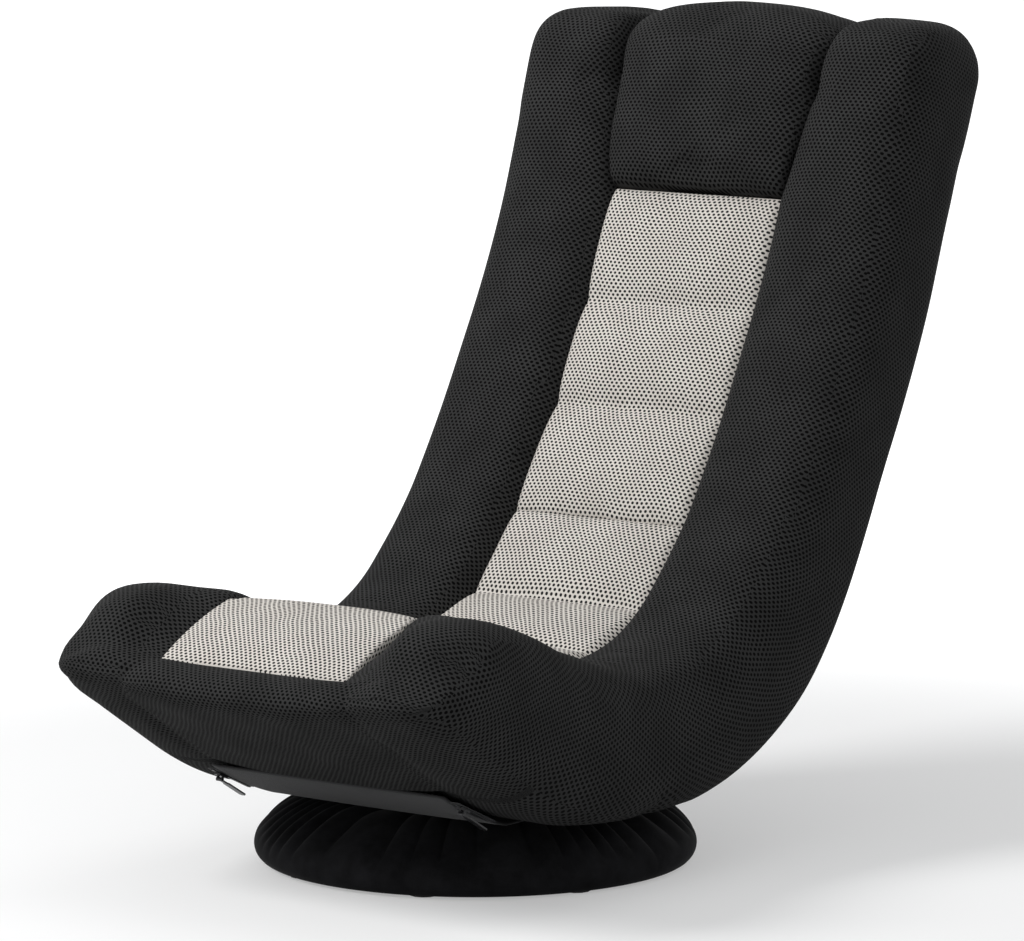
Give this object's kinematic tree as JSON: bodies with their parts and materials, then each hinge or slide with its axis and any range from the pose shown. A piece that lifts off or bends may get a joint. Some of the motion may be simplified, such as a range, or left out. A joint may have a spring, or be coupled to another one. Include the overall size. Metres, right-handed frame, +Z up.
{
  "type": "floor gaming chair",
  "caption": "Folding floor chair with channelled strip, side bolsters and headrest on a padded round swivel base.",
  "frame": {"origin": "on the floor, on the swivel axis of the round base", "axes": "+Z up; the chair faces -Y, and the sitter's left side is +X"},
  "size_m": [0.524, 0.9993, 0.8586],
  "materials": {
    "black_mesh": "matte",
    "pale_mesh": "matte",
    "velvet": "matte",
    "panel_cloth": "matte",
    "core_foam": "matte",
    "frame_steel": "satin",
    "zinc_steel": "satin",
    "rubber": "matte",
    "bearing_plastic": "satin",
    "zip_plastic": "satin",
    "pull_metal": "satin"
  },
  "bodies": {
    "base": {"base_hoop": "frame_steel", "base_arches": "frame_steel", "base_feet": "rubber", "base_gathered_cover": "velvet", "base_foam_ring": "core_foam", "swivel_lower_plate": "zinc_steel", "swivel_bearing_ring": "bearing_plastic", "swivel_centre_rivet": "zinc_steel", "swivel_base_bolts": "zinc_steel"},
    "seat": {"swivel_upper_plate": "zinc_steel", "seat_bridges": "frame_steel", "swivel_seat_bolts": "zinc_steel", "seat_frame_tube": "frame_steel", "seat_cross_tube": "frame_steel", "recline_housings": "zinc_steel", "recline_pivot_rivets": "zinc_steel", "seat_bolster_left": "black_mesh", "seat_bolster_right": "black_mesh", "seat_core_foam": "core_foam", "seat_channel_panel": "pale_mesh", "seat_front_boxing": "black_mesh", "seat_underside_panel": "panel_cloth", "side_zips": "zip_plastic", "recline_bend_foam": "black_mesh"},
    "recline_pawls": {"recline_pawls": "zinc_steel"},
    "side_zip_slider_left": {"side_zip_slider_left": "pull_metal"},
    "side_zip_slider_right": {"side_zip_slider_right": "pull_metal"},
    "side_zip_pull_left": {"side_zip_pull_left": "pull_metal"},
    "side_zip_pull_right": {"side_zip_pull_right": "pull_metal"},
    "lumbar": {"recline_toothed_arms": "zinc_steel", "lumbar_tube_left": "frame_steel", "lumbar_tube_right": "frame_steel", "lumbar_cross_tube": "frame_steel", "fold_housings": "zinc_steel", "fold_pivot_rivets": "zinc_steel", "lumbar_bolster_left": "black_mesh", "lumbar_bolster_right": "black_mesh", "lumbar_core_foam": "core_foam", "lumbar_channel_panel": "pale_mesh", "fold_bend_foam": "black_mesh"},
    "fold_pawls": {"fold_pawls": "zinc_steel"},
    "back": {"fold_toothed_arms": "zinc_steel", "back_frame_tube": "frame_steel", "back_cross_tube": "frame_steel", "back_bolster_left": "black_mesh", "back_bolster_right": "black_mesh", "back_core_foam": "core_foam", "back_channel_panel": "pale_mesh", "head_bolster_left": "black_mesh", "head_bolster_right": "black_mesh", "head_centre_pad": "black_mesh", "back_rear_panel": "panel_cloth", "rear_zip": "zip_plastic"},
    "rear_zip_slider": {"rear_zip_slider": "pull_metal"},
    "rear_zip_pull": {"rear_zip_pull": "pull_metal"}
  },
  "joints": [
    {"name": "base_swivel", "type": "hinge", "parent": "base", "child": "seat", "pos_m": [0, 0, 0], "axis": [0, 0, 1], "continuous": true},
    {"name": "recline", "type": "hinge", "parent": "seat", "child": "lumbar", "pos_m": [0, 0.168, 0.182], "axis": [1, 0, 0], "range_deg": [-31, 42], "deforming": ["recline_bend_foam"]},
    {"name": "fold", "type": "hinge", "parent": "lumbar", "child": "back", "pos_m": [0, 0.321, 0.348], "axis": [1, 0, 0], "range_deg": [0, 68], "deforming": ["fold_bend_foam"]},
    {"name": "recline_pawl_lift", "type": "hinge", "parent": "seat", "child": "recline_pawls", "pos_m": [0, 0.16691, 0.15302], "axis": [1, 0, 0], "range_deg": [-18, 0], "stiffness_Nm_per_rad": 0.05},
    {"name": "fold_pawl_lift", "type": "hinge", "parent": "lumbar", "child": "fold_pawls", "pos_m": [0, 0.3306, 0.32064], "axis": [1, 0, 0], "range_deg": [-18, 0], "stiffness_Nm_per_rad": 0.05},
    {"name": "side_zip_left", "type": "slide", "parent": "seat", "child": "side_zip_slider_left", "axis": [0, -0.9109, 0.4126], "range_m": [-0.041, 0.009]},
    {"name": "side_zip_pull_left_swing", "type": "hinge", "parent": "side_zip_slider_left", "child": "side_zip_pull_left", "pos_m": [0.15635, -0.22734, 0.09803], "axis": [1, 0, 0], "range_deg": [-160, 5]},
    {"name": "side_zip_right", "type": "slide", "parent": "seat", "child": "side_zip_slider_right", "axis": [0, -0.9109, 0.4126], "range_m": [-0.041, 0.009]},
    {"name": "side_zip_pull_right_swing", "type": "hinge", "parent": "side_zip_slider_right", "child": "side_zip_pull_right", "pos_m": [-0.15635, -0.22734, 0.09803], "axis": [1, 0, 0], "range_deg": [-160, 5]},
    {"name": "rear_zip", "type": "slide", "parent": "back", "child": "rear_zip_slider", "axis": [1, 0, 0], "range_m": [-0.0218, 0.3242]},
    {"name": "rear_zip_pull_swing", "type": "hinge", "parent": "rear_zip_slider", "child": "rear_zip_pull", "pos_m": [-0.1512, 0.47806, 0.50013], "axis": [1, 0, 0], "range_deg": [-20, 120]}
  ]
}
